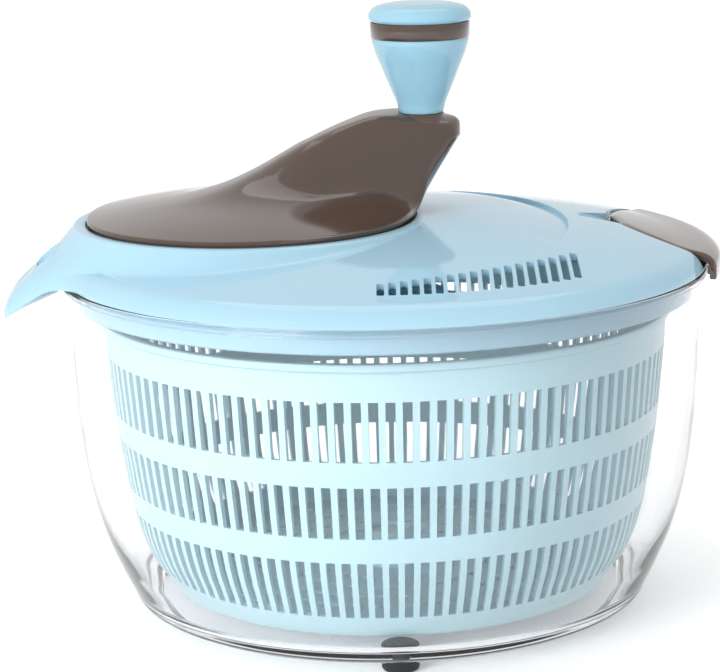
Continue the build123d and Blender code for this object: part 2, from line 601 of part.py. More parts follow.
KNOB_BORE = JOURNAL_R + RUNNING_FIT
with BuildPart() as knob_grip:
    with BuildPart(mode=Mode.PRIVATE) as grip_turned:
        with BuildSketch(Plane.XZ):
            with BuildLine():
                flank = Spline(*GRIP_PROFILE)
                Polyline(flank @ 1, (18.6, 222.6), (14.0, 222.6), (14.0, 228.0), (8.0, 228.0), (8.0, 227.6),
                         (KNOB_BORE, 227.6), (KNOB_BORE, 194.5), flank @ 0)
            make_face()
        revolve(axis=Axis.Z)
    add(grip_turned.part.moved(Location((KNOB_X, 0, 0))))
finish(knob_grip, "knob_grip")

with BuildPart() as knob_ring:
    add(knob_turned(((14.05, 222.7), (18.9, 222.7), (19.1, 225.7), (18.9, 228.7), (14.05, 228.7))))
finish(knob_ring, "knob_ring")

with BuildPart() as knob_cap:
    add(knob_turned(((0, 231.2), (10.0, 231.2), (10.0, 228.8), (19.0, 228.8), (19.6, 230.0), (19.1, 232.4),
                     (17.0, 234.7), (12.0, 235.7), (0, 236.0))))
finish(knob_cap, "knob_cap")

knob_screw = screw_group([KNOB_AXIS], PIN_TOP_Z, 7.0, head_r=5.5, head_t=1.8, head_up=True)
finish(knob_screw, "knob_screw")

# ---------------------------------------------------------------- rim latch
HOOK_Z = 128.0
HOOK_HALF_DEG = 8.0
LEVER_SKIRT_Z = 133.4
LUG_Y = (9.2, 11.6)
with BuildPart() as latch_lever:
    # top plate follows the lid's dome and wraps over the rim
    with BuildSketch(Plane.XZ):
        with BuildLine():
            Polyline((80.0, dome_z(80.0)), (100.0, dome_z(100.0)), (115.0, dome_z(115.0)), (124.0, 143.6),
                     (128.0, 143.0), (LATCH_OUT_R, 140.6), (LATCH_OUT_R, LEVER_SKIRT_Z),
                     (RIM_R + 2.4, LEVER_SKIRT_Z), (RIM_R + 2.4, 141.2), (115.0, dome_z(115.0) - 2.3),
                     (80.0, dome_z(80.0) - 2.3), close=True)
        make_face()
    revolve(axis=Axis.Z)
    plan_tool = extrude(Plane.XY.offset(120) * lever_outline(), amount=40, mode=Mode.PRIVATE)
    add(plan_tool, mode=Mode.INTERSECT)
    # hook below the skirt, lugs for the pin
    with BuildPart(mode=Mode.PRIVATE) as hook:
        with BuildSketch(Plane.XZ):
            with BuildLine():
                Polyline((RIM_R + 2.4, LEVER_SKIRT_Z + 1), (RIM_R + 0.4, 131.6), (RIM_R + 0.4, HOOK_Z),
                         (LATCH_OUT_R - 1.2, HOOK_Z), (LATCH_OUT_R - 1.2, LEVER_SKIRT_Z + 1), close=True)
            make_face()
        revolve(axis=Axis.Z)
        with BuildSketch(Plane.XY.offset(120)):
            with BuildLine():
                Polyline((0, 0), polar(150, HOOK_HALF_DEG), polar(150, -HOOK_HALF_DEG), close=True)
            make_face()
        extrude(amount=20, mode=Mode.INTERSECT)
    add(hook.part)
    for lug_side in (1, -1):
        with BuildSketch(Plane.XZ.offset(-lug_side * LUG_Y[0])):
            with BuildLine():
                Polyline((LATCH_PIVOT_X - 2.6, 144.0), (LATCH_PIVOT_X - 2.6, LATCH_PIVOT_Z),
                         (LATCH_PIVOT_X, LATCH_PIVOT_Z - 1.7), (LATCH_PIVOT_X + 2.6, LATCH_PIVOT_Z),
                         (LATCH_PIVOT_X + 2.6, 142.0), close=True)
            make_face()
        extrude(amount=-lug_side * (LUG_Y[1] - LUG_Y[0]))
    with Locations(Plane((LATCH_PIVOT_X, 0, LATCH_PIVOT_Z), z_dir=(0, 1, 0))):
        Cylinder(PIN_R + 0.05, 30, mode=Mode.SUBTRACT)
finish(latch_lever, "latch_lever")

with BuildPart() as latch_pin:
    with Locations(Plane((LATCH_PIVOT_X, 0, LATCH_PIVOT_Z), z_dir=(0, 1, 0))):
        Cylinder(PIN_R, 2 * LUG_Y[1])
finish(latch_pin, "latch_pin")

SPRING_WIRE_R = 0.25
with BuildPart() as latch_spring:
    with BuildLine() as coil:
        Helix(pitch=1.3, height=8, radius=PIN_R + 0.15 + SPRING_WIRE_R,
              center=(LATCH_PIVOT_X, -4, LATCH_PIVOT_Z), direction=(0, 1, 0))
    with BuildSketch(Plane(coil.line @ 0, z_dir=coil.line % 0)):
        Circle(SPRING_WIRE_R)
    sweep(is_frenet=True)
finish(latch_spring, "latch_spring")
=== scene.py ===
# %% [markdown]
# A salad spinner, built as looks around a packed mechanical model. The model gives every body,
# joint and size. Here each visible moulding gets a smooth surface of its own and every finish is
# made from shader nodes. Lengths are in metres, and MM turns millimetres into metres.

# %% Load the frame
import math

import bmesh
import bpy
import numpy as np
from mathutils import Matrix, Vector


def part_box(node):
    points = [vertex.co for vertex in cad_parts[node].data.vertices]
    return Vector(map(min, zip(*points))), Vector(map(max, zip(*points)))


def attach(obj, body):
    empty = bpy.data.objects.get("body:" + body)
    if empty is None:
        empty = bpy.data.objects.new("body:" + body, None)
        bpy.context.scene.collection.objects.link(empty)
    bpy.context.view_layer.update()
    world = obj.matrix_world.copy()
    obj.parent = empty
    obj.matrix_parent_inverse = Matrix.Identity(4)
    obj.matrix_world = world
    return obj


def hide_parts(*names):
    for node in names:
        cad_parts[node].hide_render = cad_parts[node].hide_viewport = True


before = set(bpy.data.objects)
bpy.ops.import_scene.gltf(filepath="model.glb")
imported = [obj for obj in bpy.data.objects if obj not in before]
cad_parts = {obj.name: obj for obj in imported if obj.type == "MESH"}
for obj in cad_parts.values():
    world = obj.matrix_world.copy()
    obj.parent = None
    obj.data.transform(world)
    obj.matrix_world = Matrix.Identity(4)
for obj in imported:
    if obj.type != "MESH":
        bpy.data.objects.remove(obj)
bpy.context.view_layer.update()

MM = 0.001

# %% [markdown]
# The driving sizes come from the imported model: the bowl's flange gives the rim, the crank base
# gives the crank's axis, the knob pin gives the knob's, and the basket gives its own floor. The
# other sizes are in millimetres in the same frame.

# %% Sizes from the model
def span(node):
    """Lowest and highest corner of a node in millimetres."""
    low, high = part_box(node)
    return np.array(low) / MM, np.array(high) / MM


bowl_high = span("bowl")[1]
crank_low, crank_high = span("crank_base")
pin_low, pin_high = span("knob_pin")
RIM_R = round(bowl_high[0], 3)
RIM_Z = round(bowl_high[2], 3)
CRANK_X = (crank_low[0] + crank_high[0]) / 2
CRANK_R = 63.0
KNOB_X = (pin_low[0] + pin_high[0]) / 2
BASKET_FLOOR_Z = span("basket")[0][2]
DOME_R = 555.0    # radius of the lid's large sphere
DOME_TOP = 156.4  # its height at the spin axis
LID_T = 2.3       # thickness of the lid's wall
print("rim radius", RIM_R, "rim height", RIM_Z, "crank axis x", CRANK_X, "knob axis x", KNOB_X)

# %% [markdown]
# Most pieces here are mouldings: a section carried round an axis, or a grid of points bent into
# shape. One helper turns a grid of points into a mesh. Rows and columns can each close on
# themselves, a mask can leave cells open, and seams and poles are merged so that every piece is
# a closed shell with its faces pointing outwards.

# %% Grid to mesh
def finish_mesh(name, verts, faces, body, angle=35.0, weld=1e-6):
    """Mesh object from points in millimetres and faces: welded, outward, smooth below an angle."""
    mesh = bpy.data.meshes.new(name)
    mesh.from_pydata((np.asarray(verts, float) * MM).tolist(), [], [list(map(int, f)) for f in faces])
    shape = bmesh.new()
    shape.from_mesh(mesh)
    bmesh.ops.remove_doubles(shape, verts=shape.verts, dist=weld)
    bmesh.ops.dissolve_degenerate(shape, edges=shape.edges, dist=weld)
    bmesh.ops.recalc_face_normals(shape, faces=shape.faces)
    shape.to_mesh(mesh)
    shape.free()
    mesh.shade_smooth()
    mesh.set_sharp_from_angle(angle=math.radians(angle))
    piece = bpy.data.objects.new(name, mesh)
    bpy.context.scene.collection.objects.link(piece)
    if body:
        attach(piece, body)
    return piece


def grid_faces(rows, cols, wrap_rows=False, wrap_cols=False, keep=None, start=0):
    """Quads between neighbouring points of a rows-by-cols grid; keep masks the cells."""
    row_cells = rows if wrap_rows else rows - 1
    col_cells = cols if wrap_cols else cols - 1
    r, c = np.meshgrid(np.arange(row_cells), np.arange(col_cells), indexing="ij")
    r2, c2 = (r + 1) % rows, (c + 1) % cols
    quads = np.stack([r * cols + c, r * cols + c2, r2 * cols + c2, r2 * cols + c], -1) + start
    quads = quads.reshape(-1, 4)
    return quads if keep is None else quads[keep.reshape(-1)]


def smooth_path(points, count):
    """Cubic (Catmull-Rom) curve through a few points, evenly sampled in its parameter."""
    p = np.asarray(points, float)
    ends = np.vstack([2 * p[0] - p[1], p, 2 * p[-1] - p[-2]])
    t = np.linspace(0, len(p) - 1, count)
    i = np.minimum(t.astype(int), len(p) - 2)
    f = (t - i)[:, None]
    a, b, c, d = ends[i], ends[i + 1], ends[i + 2], ends[i + 3]
    square = (2 * a - 5 * b + 4 * c - d) * f ** 2
    cube = (3 * b - a - 3 * c + d) * f ** 3
    return 0.5 * (2 * b + (c - a) * f + square + cube)


def arc(centre, radius, start_deg, end_deg, count):
    """Points of a circle's arc: centre plus radius times (cosine, sine) of evenly spaced angles."""
    a = np.radians(np.linspace(start_deg, end_deg, count))
    return np.column_stack([centre[0] + radius * np.cos(a), centre[1] + radius * np.sin(a)])


def turned(name, outline, body, centre=(0.0, 0.0), turns=192, closed=True, angle=35.0):
    """Solid of revolution: each (radius, height) point of the outline goes round an upright axis."""
    outline = np.asarray(outline, float)
    a = np.linspace(0, 2 * np.pi, turns, endpoint=False)
    r, z = outline[:, :1], outline[:, 1:]
    points = np.stack([centre[0] + r * np.cos(a), centre[1] + r * np.sin(a), z + 0 * a], -1)
    faces = grid_faces(len(outline), turns, closed, True)
    return finish_mesh(name, points.reshape(-1, 3), faces, body, angle)


def blend_step(x, low, high):
    """Smooth step: 0 below low, 1 above high, 3t^2 - 2t^3 between."""
    t = np.clip((np.asarray(x, float) - low) / (high - low), 0, 1)
    return t * t * (3 - 2 * t)


def soft_max(a, b, width):
    """The larger of two heights, with the crease between them rounded over a width."""
    return (a + b + np.sqrt((a - b) ** 2 + width ** 2)) / 2


def dome(radius, drop=0.0):
    """Height of the lid's large sphere at a distance from the spin axis, lowered by drop."""
    return DOME_TOP - DOME_R + np.sqrt((DOME_R - drop) ** 2 - np.asarray(radius, float) ** 2)


print("helpers ready")

# %% [markdown]
# Shader sums read best as sums. This small class wraps a socket, so that `1 - mask` or
# `noise * 0.1 + 0.3` adds the Math nodes that it needs. Every other node comes from `node`.

# %% Shader helper
class Value:
    """A shader socket that can stand in Python arithmetic."""

    def __init__(self, graph, socket):
        self.graph = graph
        self.socket = socket

    def _math(self, operation, a, b=None, clamp=False):
        inputs = {0: a} if b is None else {0: a, 1: b}
        return self.graph.node("ShaderNodeMath", {"operation": operation, "use_clamp": clamp}, inputs)

    def __add__(self, other):
        return self._math("ADD", self, other)

    def __sub__(self, other):
        return self._math("SUBTRACT", self, other)

    def __rsub__(self, other):
        return self._math("SUBTRACT", other, self)

    def __mul__(self, other):
        return self._math("MULTIPLY", self, other)

    def __pow__(self, other):
        return self._math("POWER", self, other)

    __radd__ = __add__
    __rmul__ = __mul__

    def clamped(self):
        """The same value held between 0 and 1."""
        return self._math("ADD", self, 0.0, clamp=True)


class Graph:
    """One material's node tree, with its output."""

    def __init__(self, name):
        self.material = bpy.data.materials.new(name)
        self.material.use_nodes = True
        self.tree = self.material.node_tree
        self.tree.nodes.clear()
        self.output = self.tree.nodes.new("ShaderNodeOutputMaterial")

    def node(self, kind, settings=None, inputs=None, out=0):
        """Add a node: its settings first, then values or links on its sockets."""
        made = self.tree.nodes.new(kind)
        for key, value in (settings or {}).items():
            setattr(made, key, value)
        for key, value in (inputs or {}).items():
            if isinstance(value, Value):
                self.tree.links.new(value.socket, made.inputs[key])
            else:
                made.inputs[key].default_value = value
        return Value(self, made.outputs[out])

    def place(self):
        """Object coordinates, which are the part's own frame in metres."""
        return self.node("ShaderNodeTexCoord", out="Object")

    def noise(self, scale, detail=2.0, rough=0.5):
        """Fractal noise between 0 and 1 at a scale in cycles per metre."""
        inputs = {"Vector": self.place(), "Scale": scale, "Detail": detail, "Roughness": rough}
        return self.node("ShaderNodeTexNoise", None, inputs)

    def tint(self, factor, dark, light):
        """Mix of two colours by a factor."""
        return self.node("ShaderNodeMix", {"data_type": "RGBA"}, {0: factor, 6: dark, 7: light}, out=2)

    def bump(self, height, strength, distance):
        """Normal bent by a height in the units of distance."""
        inputs = {"Height": height, "Strength": strength, "Distance": distance}
        return self.node("ShaderNodeBump", None, inputs)

    def show(self, shader):
        """Send a shader to the output and return the material."""
        self.tree.links.new(shader.socket, self.output.inputs["Surface"])
        return self.material


def colour(r, g, b):
    """Linear colour from display values 0 to 255."""
    shares = (r / 255, g / 255, b / 255)
    return tuple(v / 12.92 if v < 0.04045 else ((v + 0.055) / 1.055) ** 2.4 for v in shares) + (1.0,)


# %% [markdown]
# The lid, knob and crank are glossy moulded plastic. A real moulding is never one flat colour:
# the pigment flows in wide faint swirls, the gloss is dulled here and there by handling, and the
# surface has a very slight orange peel. Those three go to colour, roughness and bump.

# %% Moulded plastic
def moulded(name, dark, light, rough=0.16, rough_swing=0.08, peel=0.00004, coat=0.0):
    """Opaque plastic with pigment flow, uneven gloss, specks and faint orange peel."""
    g = Graph(name)
    flow = g.noise(14.0, 3.0, 0.55)
    handled = g.noise(38.0, 4.0, 0.6)
    speck = g.noise(900.0, 1.0, 0.5)
    base = g.tint((flow * 0.8 + speck * 0.2).clamped(), dark, light)
    gloss = (handled - 0.5) * rough_swing + rough
    skin = g.bump(g.noise(420.0, 2.0, 0.5) + speck * 0.3, 0.35, peel)
    inputs = {"Base Color": base, "Roughness": gloss, "Normal": skin, "IOR": 1.5, "Coat Weight": coat,
              "Coat Roughness": 0.06}
    return g.show(g.node("ShaderNodeBsdfPrincipled", None, inputs))


lid_blue = moulded("lid_blue_plastic", colour(152, 188, 205), colour(160, 195, 212), 0.07, 0.04)
knob_blue = moulded("knob_blue_plastic", colour(140, 181, 199), colour(148, 190, 207), 0.12, 0.06)
basket_aqua = moulded("basket_aqua_plastic", colour(182, 217, 226), colour(191, 225, 233), 0.25, 0.1)
crank_brown = moulded("crank_brown_plastic", colour(66, 50, 41), colour(76, 59, 49), 0.12, 0.05, coat=0.5)
gear_white = moulded("gear_white_plastic", colour(226, 228, 224), colour(238, 240, 236), 0.42, 0.1)
foot_rubber = moulded("foot_black_rubber", colour(24, 24, 26), colour(38, 38, 41), 0.5, 0.2, 0.0001)
print("plastics:", lid_blue.name, knob_blue.name, basket_aqua.name, crank_brown.name)

# %% [markdown]
# Steel screws and pins are turned or headed wire. Fine stretched noise along the length of the
# part gives drawing marks in both roughness and bump.

# %% Bright steel
def bright_steel(name):
    """Metal with fine drawing marks: noise squeezed along one axis."""
    g = Graph(name)
    squeezed = g.node("ShaderNodeMapping", None, {"Vector": g.place(), "Scale": (900.0, 900.0, 60.0)})
    marks = g.node("ShaderNodeTexNoise", None, {"Vector": squeezed, "Scale": 1.0, "Detail": 3.0})
    base = g.tint(marks, colour(176, 178, 182), colour(206, 208, 212))
    inputs = {"Base Color": base, "Metallic": 1.0, "Roughness": marks * 0.2 + 0.18,
              "Normal": g.bump(marks, 0.3, 0.00003)}
    return g.show(g.node("ShaderNodeBsdfPrincipled", None, inputs))


steel = bright_steel("bright_steel")

# %% [markdown]
# The bowl is a clear hard plastic such as SAN. Its wall really bends light, which draws the dark
# and bright lines at the rim, toe and base. Lamps would cast a solid shadow through it, so shadow
# rays see a plain transparent wall instead. Faint cloudy wash marks keep it from being even.

# %% Clear plastic
def clear_plastic(name):
    """Clear moulded wall that bends light, let through whole for the lamps' shadow rays."""
    g = Graph(name)
    marks = g.noise(30.0, 4.0, 0.6)
    ray = g.node("ShaderNodeLightPath", out="Is Shadow Ray")
    through = g.node("ShaderNodeBsdfTransparent", None, {"Color": (0.93, 0.94, 0.945, 1.0)})
    cloudy = g.tint(marks, (0.935, 0.94, 0.955, 1.0), (0.955, 0.96, 0.97, 1.0))
    ripple = g.bump(g.noise(60.0, 2.0, 0.5), 0.12, 0.0001)
    body = {"Base Color": cloudy, "Roughness": marks * 0.02 + 0.005, "IOR": 1.49,
            "Transmission Weight": 1.0, "Normal": ripple}
    wall = g.node("ShaderNodeBsdfPrincipled", None, body)
    return g.show(g.node("ShaderNodeMixShader", None, {0: ray, 1: wall, 2: through}))


clear = clear_plastic("bowl_clear_plastic")
print("clear plastic and steel ready")


def dress(piece, material):
    """Give a piece one material in place of all its slots."""
    piece.data.materials.clear()
    piece.data.materials.append(material)
    return piece


# %% [markdown]
# The bowl is a tall cup with a flange for the lid, a rounded toe that stands on a thin base ring,
# and a peg in its floor for the basket. It is one closed outline turned about the spin axis, with
# short arcs at the lips so that they catch light the way a moulded edge does.

# %% Bowl
outer_wall = smooth_path([(122.1, 132.6), (121.6, 112), (121.0, 92), (119.6, 73), (117.0, 54), (112.4, 35.8),
                          (107.4, 23), (102.0, 11.5)], 60)
toe = smooth_path([(102.0, 11.5), (100.5, 8.4), (97.5, 6.2)], 10)
base_ring = [(95.4, 6.2), (94.7, 6.5), (93.4, 8.1), (92.6, 8.5), (60.0, 8.5), (0.0, 8.5)]
peg = [(0.0, 24.0), (4.0, 24.0), (4.7, 23.7), (5.0, 23.0), (5.0, 12.6), (5.6, 11.6), (8.0, 11.05),
       (9.0, 11.0), (60.0, 11.0), (93.6, 11.0)]
heel = smooth_path([(93.6, 11.0), (96.6, 11.7), (99.2, 14.0)], 10)
inner_wall = smooth_path([(99.2, 14.0), (104.4, 24.4), (109.8, 37.2), (114.4, 54.8), (117.1, 74), (118.5, 92),
                          (119.2, 112), (119.6, 131.5)], 60)
lip = np.vstack([[(119.6, 134.9)], arc((120.6, 135.0), 1.0, 180, 90, 6), arc((124.1, 135.1), 0.9, 90, 0, 6),
                 [(RIM_R, 133.5)], arc((124.4, 133.2), 0.6, 0, -90, 5), [(122.9, 132.6)]])
bowl_outline = np.vstack([outer_wall, toe[1:], base_ring, peg, heel[1:], inner_wall[1:], lip])
bowl = turned("clear_bowl", bowl_outline, "bowl", turns=240, angle=50)
dress(bowl, clear)
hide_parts("bowl")
print("bowl faces", len(bowl.data.polygons))

# %% [markdown]
# Three rubber feet are pushed into the underside. Each is a short stud with a flared collar and
# a softly rounded sole.

# %% Feet
sole = [(0.0, 0.0), (3.2, 0.0), (3.5, 0.4), (4.4, 0.4), (4.7, 0.0)]
stud = [(6.9, 4.2), (6.5, 5.0), (6.5, 6.0), (7.0, 6.6), (7.0, 8.3), (6.8, 8.5), (3.0, 8.5), (3.0, 9.7),
        (2.7, 10.0), (0.0, 10.0)]
foot_outline = np.vstack([sole, arc((5.6, 1.4), 1.4, -90, 0, 7), stud])
for foot_name in ("foot_front", "foot_right", "foot_left"):
    low, high = span(foot_name)
    centre = ((low[0] + high[0]) / 2, (low[1] + high[1]) / 2)
    foot = turned(foot_name + "_rubber", foot_outline, "bowl", centre, 64, False)
    dress(foot, foot_rubber)
    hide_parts(foot_name)
print("three feet")

# %% [markdown]
# The basket is one thin wall from its hub, over the floor and up to the rim, with openings
# through it. It is a double grid: an outer and an inner skin over (distance along the section,
# angle). Cells that are openings are left out of both skins, and short walls join the skins
# round each opening, so the whole is one closed shell with true thickness.

# %% Basket
SLOTS = 112       # upright slots in one tier
RIB_SHARE = 0.41  # share of the slot pitch that is rib
BASKET_T = 2.0    # thickness of the basket's wall
TIERS = ((84.0, 106.5), (54.8, 74.5), (22.8, 45.4))
FLOOR_RINGS = ((26.0, 12), (38.0, 12), (50.0, 9), (62.0, 6), (73.0, 6))  # radius, columns per opening


def perforated(name, outer, inner, angles, is_open, body):
    """Closed shell between two grids of (radius, height) with some cells open.

    outer and inner hold one (radius, height) pair for each step along the section, angles holds
    the columns round the axis, and is_open marks the cells left out. Walls are added wherever an
    open cell meets a solid one, and along the first and last row.
    """
    rows, cols = len(outer), len(angles)
    cos, sin = np.cos(angles), np.sin(angles)
    skins = [np.stack([s[:, :1] * cos, s[:, :1] * sin, s[:, 1:] + 0 * cos], -1).reshape(-1, 3)
             for s in (outer, inner)]
    half = rows * cols
    solid = ~is_open
    skin = grid_faces(rows, cols, False, True, solid)
    r, c = np.meshgrid(np.arange(rows - 1), np.arange(cols), indexing="ij")
    left_edge = solid & np.roll(is_open, 1, axis=1)
    right_edge = solid & np.roll(is_open, -1, axis=1)
    padded = np.vstack([np.ones((1, cols), bool), is_open, np.ones((1, cols), bool)])
    low_edge = solid & padded[:-2]
    high_edge = solid & padded[2:]
    walls = []
    for edge, dr0, dc0, dr1, dc1 in ((left_edge, 0, 0, 1, 0), (right_edge, 0, 1, 1, 1),
                                     (low_edge, 0, 0, 0, 1), (high_edge, 1, 0, 1, 1)):
        a = (r[edge] + dr0) * cols + (c[edge] + dc0) % cols
        b = (r[edge] + dr1) * cols + (c[edge] + dc1) % cols
        walls.append(np.stack([a, b, b + half, a + half], -1))
    faces = np.vstack([skin, skin + half] + walls)
    used = np.unique(faces)
    renumber = np.zeros(2 * half, int)
    renumber[used] = np.arange(len(used))
    return finish_mesh(name, np.vstack(skins)[used], renumber[faces], body, 30)


side_points = [(86.0, BASKET_FLOOR_Z), (88.6, 14.2), (91.0, 17.0), (92.9, 20.4), (94.3, 23.0), (97.6, 31.4),
               (100.6, 42.0), (102.7, 54.8), (104.7, 68.0), (106.2, 80.0), (107.3, 92.0), (108.4, 106.5),
               (108.9, 117.6)]
side = smooth_path(side_points, 150)
tier_edges = sorted(z for tier in TIERS for z in tier)
keep_heights = np.unique(np.round(np.concatenate([tier_edges, np.linspace(24.5, 117.6, 30),
                                                  [13.3, 13.9, 14.8, 16.0, 17.5, 19.2, 21.0]]), 2))
gap = np.abs(keep_heights[:, None] - np.array(tier_edges)[None]).min(1)
keep_heights = keep_heights[(gap < 0.01) | (gap > 1.0)]
side_r = np.interp(keep_heights, side[:, 1], side[:, 0])
floor_r = np.array([8.3, 10.5, 13.0, 26.0, 29.0, 38.0, 41.0, 50.0, 53.0, 62.0, 65.0, 73.0, 76.0, 82.0])
floor_z = np.full(len(floor_r), BASKET_FLOOR_Z)
hub_heights = [14.9, 12.6]
floor_z_in = floor_z + np.array(hub_heights + [BASKET_T] * (len(floor_r) - len(hub_heights)))
outer = np.column_stack([np.concatenate([floor_r, side_r]), np.concatenate([floor_z, keep_heights])])
side_inner = np.column_stack([side_r - BASKET_T, np.maximum(keep_heights, BASKET_FLOOR_Z + BASKET_T)])
inner = np.vstack([np.column_stack([floor_r, floor_z_in]), side_inner])
rib = 2 * np.pi / SLOTS * RIB_SHARE
starts = np.arange(SLOTS) * 2 * np.pi / SLOTS
angles = np.sort(np.concatenate([starts, starts + rib, starts + rib / 2]))
mids = (outer[:-1] + outer[1:]) / 2
column = np.arange(len(angles))
slot_column = column % 3 == 2
tier_row = np.zeros(len(mids), bool)
for tier_low, tier_high in TIERS:
    tier_row |= (mids[:, 1] > tier_low) & (mids[:, 1] < tier_high) & (mids[:, 0] > 84)
is_open = tier_row[:, None] & slot_column[None]
for ring, group in FLOOR_RINGS:
    ring_row = (mids[:, 0] > ring) & (mids[:, 0] < ring + 3.0) & (mids[:, 1] < 15)
    is_open |= ring_row[:, None] & ((column % group) >= group // 3)[None]
basket_wall = perforated("slotted_basket", outer, inner, angles, is_open, "basket")
print("basket wall faces", len(basket_wall.data.polygons))

# %% [markdown]
# The basket's lip is a square bead, with three small keys inside that would hold a colander disc.
# A bearing tube rises from the floor and takes the peg.

# %% Basket rim
lip_outline = np.vstack([[(106.8, 117.6), (108.9, 117.6)], arc((109.8, 118.2), 0.6, -90, 0, 5),
                         arc((109.7, 119.9), 0.7, 0, 90, 5), arc((107.5, 119.9), 0.7, 90, 180, 5)])
basket_lip = turned("basket_lip", lip_outline, "basket", angle=50)
key_pieces = []
for turn in (82.0, 202.0, 322.0):
    a = np.radians(turn + np.array([-1.6, 1.6]))
    key_r = np.array([104.6, 107.2])
    xy = np.array([[(r * np.cos(t), r * np.sin(t)) for t in a] for r in key_r]).reshape(-1, 2)
    heights = np.repeat([106.9, 118.6], 4)
    verts = np.column_stack([np.vstack([xy, xy]), heights])
    faces = [(0, 1, 3, 2), (4, 6, 7, 5), (0, 4, 5, 1), (2, 3, 7, 6), (0, 2, 6, 4), (1, 5, 7, 3)]
    key_pieces.append(finish_mesh(f"basket_key_{int(turn)}", verts, faces, "basket"))
for piece in [basket_wall, basket_lip] + key_pieces:
    dress(piece, basket_aqua)
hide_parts("basket")
print("basket lip and", len(key_pieces), "keys")

# %% [markdown]
# The lid is one skin with rows that spread from the crank's axis: pod floor, pod wall, dome,
# rounded edge, then back along the underside with the plug ring. On the left the rows run on past
# the rim into a drooping beak, which is the handle. Two families of section,
# plain edge and beak, are blended by angle.

# %% Lid sections
POD_R = 68.5          # raised wall round the crank
POD_BORE_R = 63.5
POD_TOP = 155.6
POD_FLOOR = 152.6
FLOOR_UNDER = 150.3
BUSH_R = 10.6         # hole for the crank's bush
EDGE_R = 117.0        # where the dome turns down to the rim
SEAT_Z = RIM_Z + 0.1  # underside of the lid's edge, just over the flange
PLUG_R = 119.0        # ring that hangs into the bowl
PLUG_IN_R = 117.0
PLUG_Z = 125.8
BEAK_ROOT_Z = 154.6
BEAK_TIP_Z = 120.6
BEAK_REACH = 96.4     # tip of the beak from the crank's axis
COLUMNS = 640
phi = np.linspace(0, 2 * np.pi, COLUMNS, endpoint=False)
off_left = np.abs(phi - np.pi)


def reach(radius):
    """Distance along each ray from the crank's axis to a circle of this radius round the spin axis.

    The ray starts at the crank's x. Its crossing solves a quadratic: half the linear term is
    crank_x times cosine, and the positive root is taken.
    """
    half = CRANK_X * np.cos(phi)
    return -half + np.sqrt(half ** 2 + radius ** 2 - CRANK_X ** 2)


def spin_r(rho):
    """Distance from the spin axis of points at rho along each ray."""
    return np.hypot(CRANK_X + rho * np.cos(phi), rho * np.sin(phi))


beak_share = 1 - blend_step(np.degrees(off_left), 15, 36)
half_plan = [(-108.0, 46.5), (-120.0, 34.5), (-127.4, 24.5), (-134.5, 17.0), (-141.0, 11.5), (-145.6, 6.6)]
plan = smooth_path(half_plan + [(-147.2, 0.0)] + [(x, -y) for x, y in half_plan[::-1]], 400)
plan_turn = np.mod(np.arctan2(plan[:, 1], plan[:, 0] - CRANK_X), 2 * np.pi)
order = np.argsort(plan_turn)
plan_reach = np.interp(phi, plan_turn[order], np.hypot(plan[:, 0] - CRANK_X, plan[:, 1])[order])
beak_side = smooth_path([(POD_R, BEAK_ROOT_Z), (70.4, 152.6), (73.4, 149.2), (78.6, 143.9), (85.3, 138.4),
                         (91.0, 133.3), (94.4, 128.6), (96.1, 124.0), (95.9, BEAK_TIP_Z)], 43)
edge_path = smooth_path([(EDGE_R, dome(EDGE_R)), (119.6, 143.2), (122.0, 141.9), (123.8, 139.9),
                         (124.8, 138.0), (RIM_R, SEAT_Z)], 13)
dome_steps = np.linspace(0, 1, 31)[:-1] ** 1.7
SECTION = len(beak_side)
edge_start = np.maximum(reach(EDGE_R), POD_R + 2.5)
start_r = spin_r(edge_start)
stretch = (plan_reach - POD_R) / (BEAK_REACH - POD_R)
low_edge = BEAK_TIP_Z + 15.5 * (1 - np.exp(-(np.degrees(off_left) / 10.0) ** 2))
drop = (BEAK_ROOT_Z - low_edge) / (BEAK_ROOT_Z - BEAK_TIP_Z)
rows_rho, rows_z = [], []
for step in range(SECTION):
    if step < len(dome_steps):
        rho = POD_R + (edge_start - POD_R) * dome_steps[step]
        pod_side = POD_TOP - 0.8 - 2.6 * (rho - POD_R) ** 1.15
        dome_here = dome(np.minimum(spin_r(rho), EDGE_R))
        cove = 0.2 + 3.2 * (1 - blend_step(dome_here - POD_TOP, -4.5, -0.8))
        height = soft_max(pod_side, dome_here, cove) - 0.18 * cove * np.exp(-(rho - POD_R) / 2.5)
    else:
        r_at, z_at = edge_path[step - len(dome_steps)]
        share = (r_at - EDGE_R) / (RIM_R - EDGE_R)
        rho = reach(RIM_R) * share + edge_start * (1 - share)
        rho = np.where(start_r <= EDGE_R + 0.01, reach(r_at), rho)
        height = np.full(COLUMNS, z_at)
    beak_rho, beak_z = beak_side[step]
    rho_beak = POD_R + (beak_rho - POD_R) * stretch
    z_beak = BEAK_ROOT_Z - (BEAK_ROOT_Z - beak_z) * drop
    rows_rho.append(rho * (1 - beak_share) + rho_beak * beak_share)
    rows_z.append(height * (1 - beak_share) + z_beak * beak_share)
outer_rho, outer_z = rows_rho[-1], rows_z[-1]
print("lid columns", COLUMNS, "outer section rows", SECTION, "beak reach", round(float(outer_rho.max()), 1))

# %% [markdown]
# Going back, the beak's underside is hollowed and bevelled up to the flange. Then the seat for the
# bowl's flange, the plug ring, the dome's underside and the pod floor close the skin.

# %% Lid skin
def level(rho, z):
    """One row of the lid skin: a distance and a height for every column."""
    return np.zeros(COLUMNS) + rho, np.zeros(COLUMNS) + z


